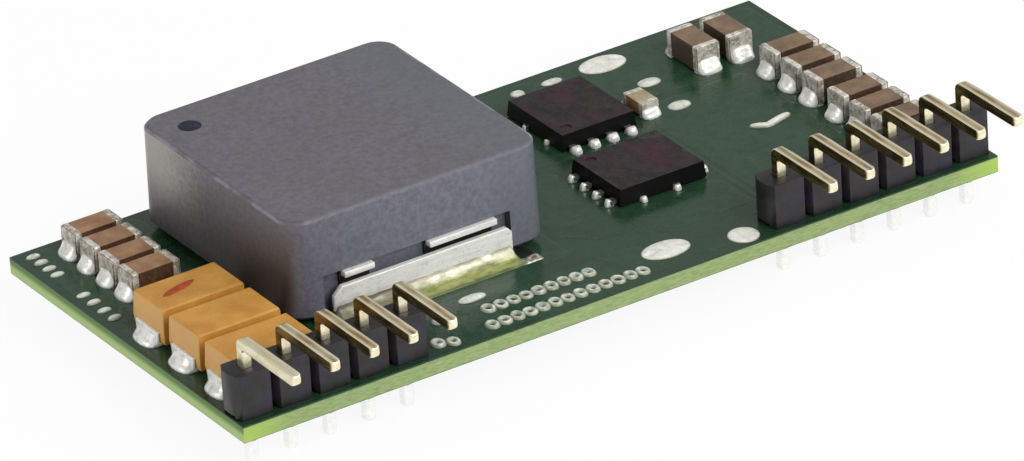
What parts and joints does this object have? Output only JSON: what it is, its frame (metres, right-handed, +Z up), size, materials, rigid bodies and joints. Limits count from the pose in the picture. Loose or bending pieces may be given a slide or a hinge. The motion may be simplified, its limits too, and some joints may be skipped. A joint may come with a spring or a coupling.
{
  "type": "dc-dc converter module",
  "caption": "Board-level dc-dc converter: power inductor, power packages and capacitors on a circuit board with two rows of right-angle square pins.",
  "frame": {"origin": "under the middle of the whole part, at the level of the tips of the pins' tails", "axes": "+X along the board's long side, +Y away from the pins' free ends, +Z up out of the component side"},
  "size_m": [0.0508, 0.0296, 0.0099],
  "materials": {
    "solder_mask_board": "dark green satin solder mask, pale cut edges",
    "solder": "bright tin solder",
    "tinned_strip": "tinned copper strip, satin",
    "gold_pin": "thin gold plating, semi-bright",
    "black_strip": "black moulded insulator, slight gloss",
    "inductor_moulding": "grey pressed powder moulding, speckled, matt",
    "tantalum_case": "ochre moulded epoxy, satin",
    "ceramic_block": "brown fired ceramic, satin",
    "plated_end": "tin-plated end, satin",
    "package_epoxy": "black moulded epoxy, satin",
    "resistor_block": "black coated chip"
  },
  "bodies": {
    "root": {"bare_pads": "solder", "ceramic_solder": "solder", "circuit_board": "solder_mask_board", "control_chip": "package_epoxy", "control_chip_leads": "tinned_strip", "front_power_leads": "tinned_strip", "front_power_package": "package_epoxy", "inductor_body": "inductor_moulding", "inductor_front_terminal": "tinned_strip", "inductor_rear_terminal": "tinned_strip", "inductor_solder": "solder", "left_ceramic_1": "ceramic_block", "left_ceramic_2": "ceramic_block", "left_ceramic_3": "ceramic_block", "left_ceramic_4": "ceramic_block", "left_ceramic_ends": "plated_end", "left_header_strip": "black_strip", "left_pin_1": "gold_pin", "left_pin_2": "gold_pin", "left_pin_3": "gold_pin", "left_pin_4": "gold_pin", "left_pin_5": "gold_pin", "package_solder": "solder", "pin_solder": "solder", "plated_vias": "solder", "rear_ceramic_1": "ceramic_block", "rear_ceramic_2": "ceramic_block", "rear_ceramic_ends": "plated_end", "rear_power_leads": "tinned_strip", "rear_power_package": "package_epoxy", "right_ceramic_1": "ceramic_block", "right_ceramic_2": "ceramic_block", "right_ceramic_3": "ceramic_block", "right_ceramic_4": "ceramic_block", "right_ceramic_5": "ceramic_block", "right_ceramic_6": "ceramic_block", "right_ceramic_ends": "plated_end", "right_header_strip": "black_strip", "right_pin_1": "gold_pin", "right_pin_2": "gold_pin", "right_pin_3": "gold_pin", "right_pin_4": "gold_pin", "right_pin_5": "gold_pin", "right_pin_6": "gold_pin", "small_ceramic": "ceramic_block", "small_ceramic_ends": "plated_end", "tantalum_case_1": "tantalum_case", "tantalum_case_2": "tantalum_case", "tantalum_case_3": "tantalum_case", "tantalum_solder": "solder", "tantalum_terminals_1": "tinned_strip", "tantalum_terminals_2": "tinned_strip", "tantalum_terminals_3": "tinned_strip", "underside_ceramic_ends": "plated_end", "underside_ceramics": "ceramic_block", "underside_resistor_ends": "plated_end", "underside_resistors": "resistor_block", "underside_solder": "solder"}
  },
  "joints": []
}
